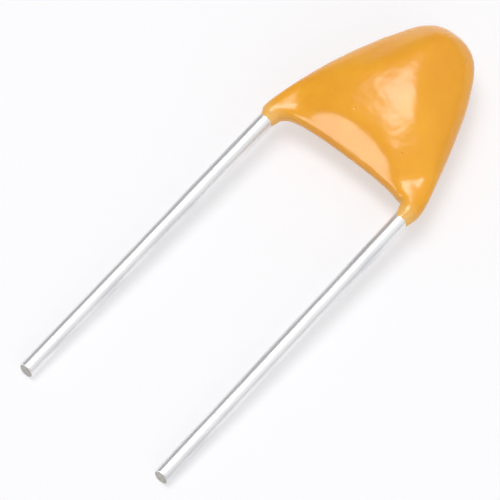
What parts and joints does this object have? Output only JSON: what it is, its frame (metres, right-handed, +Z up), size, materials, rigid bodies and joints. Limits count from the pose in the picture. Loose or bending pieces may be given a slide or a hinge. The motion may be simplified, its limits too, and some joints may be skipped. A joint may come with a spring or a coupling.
{
  "type": "multilayer ceramic capacitor",
  "caption": "Radial-lead multilayer ceramic capacitor: a ceramic chip between straight tinned wires, dipped in glossy orange-yellow epoxy with a blunt end.",
  "frame": {"origin": "on the floor under the middle of the part's box, with the capacitor lying as it comes to rest", "axes": "+Z up; +Y along the capacitor on the floor, from the wire tips to the blunt end over the chip; +X from the left wire to the right wire"},
  "size_m": [0.0058, 0.016, 0.0025],
  "materials": {
    "epoxy_resin": "gloss",
    "tinned_wire": "polished",
    "solder": "satin",
    "end_cap": "satin",
    "fired_ceramic": "matte",
    "electrode_metal": "satin"
  },
  "bodies": {
    "root": {"epoxy_coating": "epoxy_resin", "lead_left": "tinned_wire", "lead_right": "tinned_wire", "solder_left": "solder", "solder_right": "solder", "cap_left": "end_cap", "cap_right": "end_cap", "ceramic_body": "fired_ceramic", "electrode_1": "electrode_metal", "electrode_2": "electrode_metal", "electrode_3": "electrode_metal", "electrode_4": "electrode_metal", "electrode_5": "electrode_metal", "electrode_6": "electrode_metal", "electrode_7": "electrode_metal", "electrode_8": "electrode_metal", "electrode_9": "electrode_metal", "electrode_10": "electrode_metal", "electrode_11": "electrode_metal", "electrode_12": "electrode_metal"}
  },
  "joints": []
}
